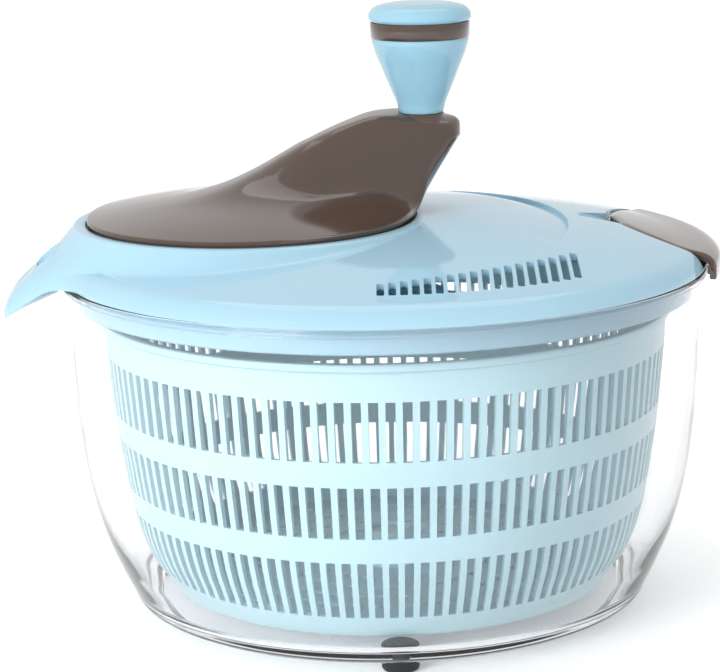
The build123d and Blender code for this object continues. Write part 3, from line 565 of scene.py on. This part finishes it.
under_r = reach(126.2)
inner_rows = [level(BUSH_R, FLOOR_UNDER), level(BUSH_R, POD_FLOOR)]
inner_rows += [level(rho, POD_FLOOR) for rho in (24.0, 44.0, 60.0, 63.1)]
inner_rows += [level(POD_BORE_R, POD_FLOOR + 0.4), level(POD_BORE_R, POD_TOP - 0.7)]
lip_high = soft_max(np.full(COLUMNS, POD_TOP), dome(np.minimum(spin_r(66.0), 118.0)), 0.5)
inner_rows += [level(63.7, lip_high - 0.25), level(64.3, lip_high)]
inner_rows += [level(66.8, lip_high), level(67.9, lip_high - 0.25)]
under_rows = []
for share in (0.12, 0.4, 0.7, 1.0):
    rho = outer_rho + (under_r - outer_rho) * share
    lift = 9.5 * share ** 0.8
    under_rows.append((rho * beak_share + outer_rho * (1 - beak_share),
                       np.minimum(outer_z + lift * beak_share, SEAT_Z)))
under_rows.append(level(np.minimum(outer_rho, reach(125.6)), SEAT_Z))
under_rows += [level(reach(PLUG_R), SEAT_Z), level(reach(PLUG_R), PLUG_Z + 0.5),
               level(reach(PLUG_R - 0.4), PLUG_Z), level(reach(PLUG_IN_R + 0.4), PLUG_Z),
               level(reach(PLUG_IN_R), PLUG_Z + 0.5), level(reach(PLUG_IN_R), 139.8)]
inner_top = np.minimum(POD_R + 0.8, reach(116.0) - 0.5)
for share in np.linspace(0, 1, 12):
    rho = reach(116.0) + (inner_top - reach(116.0)) * share
    under_rows.append((rho, dome(spin_r(rho)) - LID_T))
pod_under = np.minimum(66.0, inner_top - 0.5)
under_rows += [level(pod_under, FLOOR_UNDER), level(45.0, FLOOR_UNDER)]
all_rows = inner_rows + list(zip(rows_rho, rows_z)) + under_rows
rho = np.array([row[0] for row in all_rows])
z = np.array([row[1] for row in all_rows])
points = np.stack([CRANK_X + rho * np.cos(phi), rho * np.sin(phi), z], -1)
nostril = np.hypot((points[..., 0] + 130.0) / 3.4, (points[..., 1] + 1.5) / 5.2)
nostril_depth = 2.8 * np.exp(-nostril ** 6) - 1.2 * np.exp(-((nostril - 1.25) / 0.26) ** 2)
on_top = (np.arange(len(all_rows)) < len(inner_rows) + SECTION)[:, None]
points[..., 2] -= np.where(on_top, nostril_depth, 0)
lid_faces = grid_faces(len(all_rows), COLUMNS, True, True)
lid = finish_mesh("lid_skin", points.reshape(-1, 3), lid_faces, "lid", 40)
print("lid skin faces", len(lid.data.polygons))

# %% [markdown]
# Openings are cut out of the finished skin with simple closed tools: eighteen pouring slots, the
# pocket of the rim latch with a finger scoop at its inner edge, and a shallow crescent between
# the crank and the latch. A block under the dome gives the latch pocket its floor first.

# %% Cutting tools
def prism(name, loop, low, high):
    """Closed block: a plan loop carried from one height to another."""
    loop = np.asarray(loop, float)
    count = len(loop)
    verts = np.vstack([np.column_stack([loop, np.full(count, height)]) for height in (low, high)])
    ring = np.arange(count)
    faces = [tuple(ring[::-1]), tuple(ring + count)]
    faces += [(i, (i + 1) % count, (i + 1) % count + count, i + count) for i in range(count)]
    return finish_mesh(name, verts, faces, None)


def slab(name, xy, low, high):
    """Closed block over a rows-by-columns grid of plan points, between two height arrays."""
    rows, cols = xy.shape[:2]
    half = rows * cols
    verts = np.vstack([np.column_stack([xy.reshape(-1, 2), np.broadcast_to(h, (rows, cols)).reshape(-1)])
                       for h in (low, high)])
    skin = grid_faces(rows, cols)
    index = np.arange(half).reshape(rows, cols)
    border = np.concatenate([index[0, :-1], index[:-1, -1], index[-1, :0:-1], index[:0:-1, 0]])
    after = np.roll(border, -1)
    walls = np.stack([border, after, after + half, border + half], -1)
    return finish_mesh(name, verts, np.vstack([skin, skin + half, walls]), None)


def carve(piece, tool, operation):
    """Apply one boolean to a piece and throw the tool away."""
    step = piece.modifiers.new("carve", "BOOLEAN")
    step.operation = operation
    step.solver = "EXACT"
    step.object = tool
    bpy.context.view_layer.update()
    cut = piece.evaluated_get(bpy.context.evaluated_depsgraph_get())
    made = bpy.data.meshes.new_from_object(cut)
    piece.modifiers.clear()
    piece.data = made
    bpy.data.objects.remove(tool)


def arc_through(a, b, c, count):
    """Arc from a through b to c: the circle's centre is equally far from all three."""
    a, b, c = (np.asarray(p, float) for p in (a, b, c))
    centre = np.linalg.solve(2 * np.array([b - a, c - a]), [b @ b - a @ a, c @ c - a @ a])
    radius = np.linalg.norm(a - centre)
    turns = [math.atan2(p[1] - centre[1], p[0] - centre[0]) for p in (a, b, c)]
    sweep = [((t - turns[0] + np.pi) % (2 * np.pi)) - np.pi for t in turns]
    t = turns[0] + np.linspace(0, sweep[2], count)
    return centre + radius * np.column_stack([np.cos(t), np.sin(t)])


LATCH_HALF = math.radians(25.0)
LATCH_OUT = 130.0     # the lever's outer radius
NOSE_X = 92.0         # nearest point of its inner edge to the spin axis
LEVER_GAP = 0.6       # room round the lever in its pocket
PRESS_ROOM = 1.3      # more room at its inner edge, which moves when pressed
POCKET_FLOOR = 137.4
POCKET_WELL = 136.5   # deeper part under the inner edge
WELL_R = 116.7
ABOVE_LID = 165.0     # top of every cutting tool that goes right through
corner = (LATCH_OUT * math.cos(LATCH_HALF), LATCH_OUT * math.sin(LATCH_HALF))
flank = arc_through(corner, (101.0, 33.0), (NOSE_X, 9.0), 24)
inner_edge = np.vstack([flank, flank[::-1] * (1, -1)])


def lever_loop(grow, inward, limit):
    """Plan of the lever pushed out by grow, its inner edge moved inward, out to a limiting radius."""
    edge = inner_edge.copy()
    run = np.gradient(edge, axis=0)
    out = np.column_stack([run[:, 1], -run[:, 0]])
    out /= np.linalg.norm(out, axis=1)[:, None]
    out *= np.where((out @ (1, 0))[:, None] > 0.2, -1, 1)
    edge = edge + out * grow - (inward, 0)
    edge = edge[np.linalg.norm(edge, axis=1) < limit - 0.3]
    ends = np.arctan2(edge[[-1, 0], 1], edge[[-1, 0], 0])
    rim = np.linspace(ends[0], ends[1], 30)
    return np.vstack([edge, limit * np.column_stack([np.cos(rim), np.sin(rim)])])


block_turn = np.linspace(-0.44, 0.44, 40)
block_r = np.linspace(86.0, 118.0, 20)
block_xy = block_r[:, None, None] * np.stack([np.cos(block_turn), np.sin(block_turn)], -1)[None]
carve(lid, slab("pocket_block", block_xy, 134.7, dome(block_r)[:, None] - 0.9), "UNION")
pocket_plan = lever_loop(LEVER_GAP, PRESS_ROOM, LATCH_OUT + 10.0)
well_plan = lever_loop(LEVER_GAP, PRESS_ROOM, WELL_R)
carve(lid, prism("pocket_tool", pocket_plan, POCKET_FLOOR, ABOVE_LID), "DIFFERENCE")
carve(lid, prism("pocket_well", well_plan, POCKET_WELL, 160.0), "DIFFERENCE")
scoop_u, scoop_v = np.meshgrid(np.linspace(0, 1, 24), np.linspace(-1, 1, 21), indexing="ij")
scoop_x = 74.0 + 20.0 * scoop_u
scoop_y = scoop_v * (0.5 + 12.5 * scoop_u ** 0.8)
scoop_low = dome(scoop_x) + 0.2 - 7.2 * scoop_u ** 1.6 * (1 - 0.5 * scoop_v ** 4)
carve(lid, slab("scoop_tool", np.stack([scoop_x, scoop_y], -1), scoop_low, ABOVE_LID), "DIFFERENCE")
print("latch pocket cut:", len(lid.data.polygons), "faces")

# %% [markdown]
# The slots share a pitch and grow in length from left to right. Their outer ends keep to one
# circle, so their inner ends make the slanted comb.

# %% Slots and crescent
POUR_SLOTS = 18
POUR_PITCH = 4.147
POUR_HALF = 1.35      # half a slot's width
POUR_CORNER = 0.6     # corner radius at the outer end
POUR_SHORTEST = 11.0
POUR_GROWTH = 16.9    # how much longer the last slot is than the first
POUR_R = 111.0        # circle of the outer ends
comb_turn = math.radians(-8.0)
comb_axes = np.array([[math.cos(comb_turn), -math.sin(comb_turn)],
                      [math.sin(comb_turn), math.cos(comb_turn)]])
for slot in range(POUR_SLOTS):
    length = POUR_SHORTEST + POUR_GROWTH * slot / (POUR_SLOTS - 1)
    across = -1.5 + slot * POUR_PITCH
    outer_y = -math.sqrt(POUR_R ** 2 - across ** 2)
    corner_x = POUR_HALF - POUR_CORNER
    corner_y = outer_y + POUR_CORNER
    loop = np.vstack([arc((across + corner_x, corner_y), POUR_CORNER, -90, 0, 5),
                      arc((across, outer_y + length - POUR_HALF), POUR_HALF, 0, 180, 15),
                      arc((across - corner_x, corner_y), POUR_CORNER, 180, 270, 5)])
    carve(lid, prism("slot_tool", loop @ comb_axes.T, 138.0, ABOVE_LID), "DIFFERENCE")
CRESCENT_STEPS = 90
crank_xy = np.array([CRANK_X, 0])
sweep = np.radians(np.linspace(-27, 41, CRESCENT_STEPS))
offset_turn = math.radians(187)
inner_centre = crank_xy + 11.5 * np.array([math.cos(offset_turn), math.sin(offset_turn)])
outer_line = crank_xy + 121.5 * np.column_stack([np.cos(sweep), np.sin(sweep)])
inward = outer_line - inner_centre
inner_line = inner_centre + inward / np.linalg.norm(inward, axis=1)[:, None] * 119.0
mix = np.linspace(0, 1, 8)[:, None, None]
crescent_xy = inner_line[None] * (1 - mix) + outer_line[None] * mix
crescent_r = np.hypot(crescent_xy[..., 0], crescent_xy[..., 1])
crescent_ends = np.sin(np.linspace(0, np.pi, CRESCENT_STEPS)) ** 0.35
crescent_floor = dome(crescent_r) + 0.05 - 1.7 * mix[..., 0] ** 1.3 * crescent_ends
carve(lid, slab("crescent_tool", crescent_xy, crescent_floor, dome(crescent_r) + 6), "DIFFERENCE")
dress(lid, lid_blue)
lid.data.shade_smooth()
lid.data.set_sharp_from_angle(angle=math.radians(32))
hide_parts("lid_shell")
print("finished lid faces", len(lid.data.polygons))

# %% [markdown]
# Under the lid are a socket for the spindle, four screw bosses for the gear cover, and two ears
# that carry the latch pin.

# %% Lid bosses and ears
under_pieces = []
BOSS_R = 50
tube = [(1.35, 136.0), (3.6, 136.0), (3.8, 136.3), (3.8, 150.4), (1.35, 150.4)]
for boss, boss_turn in enumerate((70, -70, 150, -150)):
    a = math.radians(boss_turn)
    centre = (CRANK_X + BOSS_R * math.cos(a), BOSS_R * math.sin(a))
    under_pieces.append(turned(f"cover_boss_{boss}", tube, "lid", centre, 40))
socket = [(3.25, 146.4), (5.3, 146.4), (5.5, 146.6), (5.5, 150.4), (3.25, 150.4)]
under_pieces.append(turned("spindle_socket", socket, "lid", (0.0, 0.0), 48))
EAR_HALF = 1.25
for side_y in (7.25, -7.25):
    ear_low, ear_high = side_y - EAR_HALF, side_y + EAR_HALF
    ear_loop = [(118.6, ear_low), (123.5, ear_low), (123.5, ear_high), (118.6, ear_high)]
    ear = prism(f"latch_ear_{'left' if side_y > 0 else 'right'}", ear_loop, 137.3, 141.3)
    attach(ear, "lid")
    under_pieces.append(ear)
for piece in under_pieces:
    dress(piece, lid_blue)
print("pieces under the lid", len(under_pieces))

# %% [markdown]
# The crank is a shallow lobe that rises into a thin fin under the knob. Its height over the disc
# is a low dome plus a fin: a rising ridge height along the disc, times a flat-topped bell across
# it. The fin's end leans outward by a shear. Each cross-section is resampled by its own arc
# length, so the steep flanks keep as many points as the flat lobe.

# %% Crank arm
ridge_at = [-63, -40, -25, -15, -9, -4, 0, 4, 9, 19, 30, 45, 56, 63]
ridge_high = [0, 0.3, 1.2, 3.3, 5.6, 8.6, 11.8, 15.8, 20.6, 26.8, 31.0, 32.8, 33.4, 33.4]
ridge = smooth_path(np.column_stack([ridge_at, ridge_high]), 400)
ALONG, ACROSS = 260, 180
CRANK_FOOT = 156.3    # flat underside of the crank's shell
stations = CRANK_R * np.sin(np.linspace(-1, 1, ALONG) * np.pi / 2 * 0.9985)


def crank_height(x, y):
    """Top of the crank over its disc: low lobe, plus ridge height times a bell, less an edge fillet.

    The narrow bell is one over (one plus (|y| over b) to the power n): b is the half width and n
    the squareness, and both change along the disc. A broad bell, (1 - t^2)^2 with t the share of
    the half chord, flares the fin's foot out to the rim. The fin's top is tilted a little towards
    positive y. The fillet is a quarter circle at the disc's edge, larger at the fin's end.
    """
    rho = np.hypot(x, y)
    share = np.abs(y) / math.sqrt(CRANK_R ** 2 - x ** 2)
    low = 157.4 + 0.8 * blend_step(y, -20, 40) + 7.0 * (1 - (rho / CRANK_R) ** 2)
    width = 12.6 + 4.4 * (1 - blend_step(x, -15, 25))
    square = 3.0 + 7.0 * blend_step(x, 0, 45)
    flare = 0.14 * blend_step(x, 12, 48)
    beside = np.abs(y) / width
    square = square - (square - 3.6) * blend_step(beside, 0.6, 2.4) * blend_step(x, 5, 45)
    narrow = 1 / (1 + beside ** square)
    bell = (1 - flare) * narrow + flare * np.clip(1 - share ** 2, 0, 1) ** 2
    low = low + 0.13 * y * narrow * blend_step(x, 20, 50)
    fillet = 0.7 + 1.6 * blend_step(x, 46, 61)
    into_edge = np.clip((rho - (CRANK_R - fillet)) / fillet, 0, 1)
    return low + np.interp(x, ridge[:, 0], ridge[:, 1]) * bell - fillet * (1 - np.sqrt(1 - into_edge ** 2))


sections = []
for x in stations:
    half = math.sqrt(CRANK_R ** 2 - x ** 2)
    y = half * np.sin(np.linspace(-1, 1, 1201) * np.pi / 2)
    height = crank_height(x, y)
    y = np.concatenate([[-half], y, [half]])
    height = np.concatenate([[CRANK_FOOT], height, [CRANK_FOOT]])
    run = np.concatenate([[0], np.cumsum(np.hypot(np.diff(y), np.diff(height)))])
    even = np.linspace(0, run[-1], ACROSS)
    section = [np.full(ACROSS, x), np.interp(even, run, y), np.interp(even, run, height)]
    sections.append(np.column_stack(section))
top = np.array(sections)
bottom = top.copy()
bottom[..., 2] = CRANK_FOOT
crank_points = np.concatenate([top, bottom[:, ::-1]], axis=1)
along, across, up_from = crank_points[..., 0], crank_points[..., 1], crank_points[..., 2]
# the fin leans outward with height, and its end is bowed in plan
shear = 0.66 * np.clip(up_from - 156.5, 0, 28.5) * blend_step(along, -25, 25)
bow = 0.028 * np.minimum(np.abs(across), 12) ** 2 * blend_step(up_from, 158, 175) * blend_step(along, 20, 60)
crank_points[..., 0] += CRANK_X + shear - bow
faces = grid_faces(ALONG, 2 * ACROSS, False, True)
end_loop = np.arange(2 * ACROSS)
faces = list(map(tuple, faces)) + [tuple(end_loop[::-1]), tuple(end_loop + (ALONG - 1) * 2 * ACROSS)]
crank = finish_mesh("crank_fin", crank_points.reshape(-1, 3), faces, "crank", 38, weld=2e-5)
collar_outline = np.vstack([[(5.2, 186.0), (8.6, 186.0), (9.0, 187.0)],
                            arc((8.5, 193.1), 0.5, 0, 90, 5), [(5.2, 193.6)]])
collar = turned("crank_collar", collar_outline, "crank", (KNOB_X, 0.0), 96)
for piece in (crank, collar):
    dress(piece, crank_brown)
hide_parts("crank_arm")
print("crank faces", len(crank.data.polygons))

# %% [markdown]
# The knob is three turned pieces on one upright pin: a tulip grip, a dark ring, and a shallow cap.

# %% Knob
grip_side = smooth_path([(8.6, 194.1), (9.6, 198.0), (11.5, 202.6), (13.3, 207.0), (15.2, 211.8),
                         (17.1, 216.4), (18.3, 220.2), (18.6, 221.8), (18.4, 222.6)], 40)
grip = np.vstack([[(5.3, 193.8), (8.3, 193.8)], grip_side, [(5.3, 222.6)]])
ring = [(5.3, 222.7), (18.7, 222.7), (18.95, 223.0), (19.1, 228.3), (18.9, 228.7), (5.3, 228.7)]
cap_side = smooth_path([(19.1, 229.2), (19.6, 230.0), (19.65, 231.2), (19.1, 232.5), (17.0, 234.4),
                        (12.0, 235.6), (6.0, 235.9), (0.0, 236.0)], 36)
cap = np.vstack([[(0.0, 228.8), (18.6, 228.8)], cap_side])
knob_parts = (("knob_grip", grip, knob_blue, "blue_plastic", True),
              ("knob_ring", ring, crank_brown, "brown_plastic", True),
              ("knob_cap", cap, knob_blue, "blue_plastic", False))
for node, outline, material, slot_name, has_bore in knob_parts:
    piece = turned(node + "_turned", outline, "knob", (KNOB_X, 0.0), 128, closed=has_bore, angle=45)
    dress(piece, material)
    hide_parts(node)
print("knob of three pieces")

# %% [markdown]
# The rim latch is a rounded shield of brown plastic that lies in its pocket and rolls down over
# the rim. It is one section, inner edge to skirt and back, carried round the spin axis. The inner
# radius comes from the plan outline, so the sections narrow to nothing at the two corners.

# %% Latch lever
LEVER_COLUMNS = 140
LEVER_EDGE_R = 129.0  # where the lever's top turns down into its skirt
SKIRT_IN_R = 127.2    # inner face of the skirt
lever_turn = np.sin(np.linspace(-1, 1, LEVER_COLUMNS) * np.pi / 2) * (LATCH_HALF - 0.006)
edge_turn = np.arctan2(inner_edge[:, 1], inner_edge[:, 0])
order = np.argsort(edge_turn)
inner_r = np.interp(lever_turn, edge_turn[order], np.hypot(inner_edge[:, 0], inner_edge[:, 1])[order])
inner_r = np.minimum(inner_r + 0.1, 128.6)
top_share = np.linspace(0, 1, 18)


def lever_top(radius):
    """Top of the lever: the lid's dome, then a roll down at the rim."""
    roll = smooth_path([(115.0, dome(115.0)), (120.0, 143.7), (124.0, 143.3), (127.0, 142.4),
                        (LEVER_EDGE_R, 140.9)], 40)
    on_roll = np.interp(radius, roll[:, 0], roll[:, 1])
    return np.where(radius < 115, dome(np.minimum(radius, 115.0)), on_roll) - 0.05


def swept(name, section_r, section_z, turns):
    """Closed latch piece: a section carried over angles round the spin axis, capped at both ends."""
    rows, cols = len(section_r), len(turns)
    points = np.stack([section_r * np.cos(turns), section_r * np.sin(turns), section_z + 0 * turns], -1)
    first = np.arange(rows) * cols
    faces = [tuple(f) for f in grid_faces(rows, cols, True, False)]
    faces += [tuple(first), tuple((first + cols - 1)[::-1])]
    return finish_mesh(name, points.reshape(-1, 3), faces, "latch", 40)


lever_rows = [(inner_r, lever_top(inner_r) - 3.2), (inner_r, lever_top(inner_r) - 0.7)]
for share in top_share:
    radius = inner_r + 0.35 + (LEVER_EDGE_R - inner_r - 0.35) * share
    ease = 0.45 * np.exp(-share * (LEVER_EDGE_R - inner_r) / 0.5)
    lever_rows.append((radius, lever_top(radius) - ease))
skirt = ((129.6, 140.0), (129.95, 138.8), (LATCH_OUT, 137.0), (LATCH_OUT, 134.0), (129.6, 133.4),
         (127.8, 133.4), (127.4, 133.8), (127.4, 138.0))
for radius, height in skirt:
    lever_rows.append((np.full(LEVER_COLUMNS, radius), np.full(LEVER_COLUMNS, height)))
low_r = np.minimum(inner_r + 1.8, SKIRT_IN_R)
for share in (1.0, 0.6, 0.3, 0.08):
    radius = low_r + (SKIRT_IN_R - low_r) * share
    lever_rows.append((radius, np.minimum(lever_top(radius) - 2.4, 139.0 + 8 * (1 - share))))
lever_rows.append((low_r, lever_top(low_r) - 3.2))
lever_r = np.array([row[0] for row in lever_rows])
lever_z = np.array([row[1] for row in lever_rows])
lever = swept("latch_shield", lever_r, lever_z, lever_turn)
hook_turn = np.radians(np.linspace(-8, 8, 20))
hook_section = np.array([(126.0, 134.2), (128.8, 134.2), (128.8, 129.2), (127.8, 128.0), (126.2, 128.0),
                         (125.5, 128.9), (125.5, 130.4), (126.4, 131.4)])
hook = swept("latch_hook", hook_section[:, :1], hook_section[:, 1:], hook_turn)
for piece in (lever, hook):
    dress(piece, crank_brown)
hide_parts("latch_lever")
print("latch faces", len(lever.data.polygons))

# %% [markdown]
# The hidden works keep the model's own shapes: gear cover, bushes, gears, spindle, driver, pins,
# screws and spring. Each takes the finish of its material.

# %% Finishes on the model's own pieces
works = {lid_blue: ["gear_cover"], basket_aqua: ["basket_driver"], crank_brown: ["crank_base"],
         gear_white: ["pivot_cap", "crank_bush", "spindle_bush", "pinion", "drive_gear"],
         steel: ["spindle", "gear_cover_screws", "driver_screw", "crank_base_screws", "gear_screws",
                 "knob_pin", "knob_screw", "latch_pin", "latch_spring"]}
for material, names in works.items():
    for name in names:
        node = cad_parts[name]
        node.data.materials.clear()
        node.data.materials.append(material)
        node.data.set_sharp_from_angle(angle=math.radians(30))
print("finished", sum(len(v) for v in works.values()), "model pieces")

# %% [markdown]
# Studio: a pale floor, a bright even room and three soft lights. The overhead one draws the long
# sheen on lid and crank. The left and front ones fill the shade and leave no reflection.

# %% Floor, light and camera
pale = Graph("pale_floor")
pale_noise = pale.noise(3.0, 2.0, 0.5)
pale_mix = pale.tint(pale_noise, (0.93, 0.935, 0.94, 1.0), (0.95, 0.955, 0.96, 1.0))
pale_inputs = {"Base Color": pale_mix, "Roughness": 0.7, "Emission Color": (0.22, 0.22, 0.22, 1.0),
               "Emission Strength": 1.0}
floor_material = pale.show(pale.node("ShaderNodeBsdfPrincipled", None, pale_inputs))
FLOOR_HALF = 6000.0
floor_corners = [(x * FLOOR_HALF, y * FLOOR_HALF, 0) for x, y in ((-1, -1), (1, -1), (1, 1), (-1, 1))]
floor = finish_mesh("floor", floor_corners, [(0, 1, 2, 3)], None)
dress(floor, floor_material)

scene = bpy.context.scene
scene.view_settings.view_transform = "Standard"
world = bpy.data.worlds.new("room")
scene.world = world
world.use_nodes = True
world.node_tree.nodes["Background"].inputs["Color"].default_value = (1.0, 1.0, 1.0, 1.0)
world.node_tree.nodes["Background"].inputs["Strength"].default_value = 0.84


def soft_light(name, place, aim, size_x, size_y, watts):
    """Rectangular soft light at a place, turned to an aim point."""
    light = bpy.data.lights.new(name, "AREA")
    light.shape = "RECTANGLE"
    light.size = size_x
    light.size_y = size_y
    light.energy = watts
    holder = bpy.data.objects.new(name, light)
    scene.collection.objects.link(holder)
    holder.location = place
    holder.rotation_euler = (Vector(aim) - Vector(place)).to_track_quat("-Z", "Y").to_euler()
    return holder


soft_light("overhead", (0.1, 0.45, 1.4), (0, 0, 0.12), 1.2, 0.8, 3.0)
key = soft_light("left", (-1.1, -0.9, 0.7), (0, 0, 0.12), 0.7, 1.0, 14.0)
key.visible_glossy = False
fill = soft_light("front", (0.3, -1.5, 0.6), (0, 0, 0.12), 0.8, 0.8, 2.0)
fill.visible_glossy = False

target = Vector((0.0, 0.0, 0.108))
camera_place = Vector((-0.1387, -0.9870, 0.3277))
back = (camera_place - target).normalized()
right = Vector((0, 0, 1)).cross(back).normalized()
up = back.cross(right)
roll = math.radians(1.24)
tilted_right = right * math.cos(roll) - up * math.sin(roll)
tilted_up = right * math.sin(roll) + up * math.cos(roll)
camera_data = bpy.data.cameras.new("camera")
camera_data.sensor_width = 36.0
camera_data.lens = 130.53
camera_data.shift_x = -0.0353
camera_data.shift_y = -0.0063
camera = bpy.data.objects.new("camera", camera_data)
scene.collection.objects.link(camera)
camera_axes = Matrix((tilted_right, tilted_up, back)).transposed().to_4x4()
camera.matrix_world = Matrix.Translation(camera_place) @ camera_axes
scene.camera = camera
print("camera lens", camera_data.lens, "lights 3")
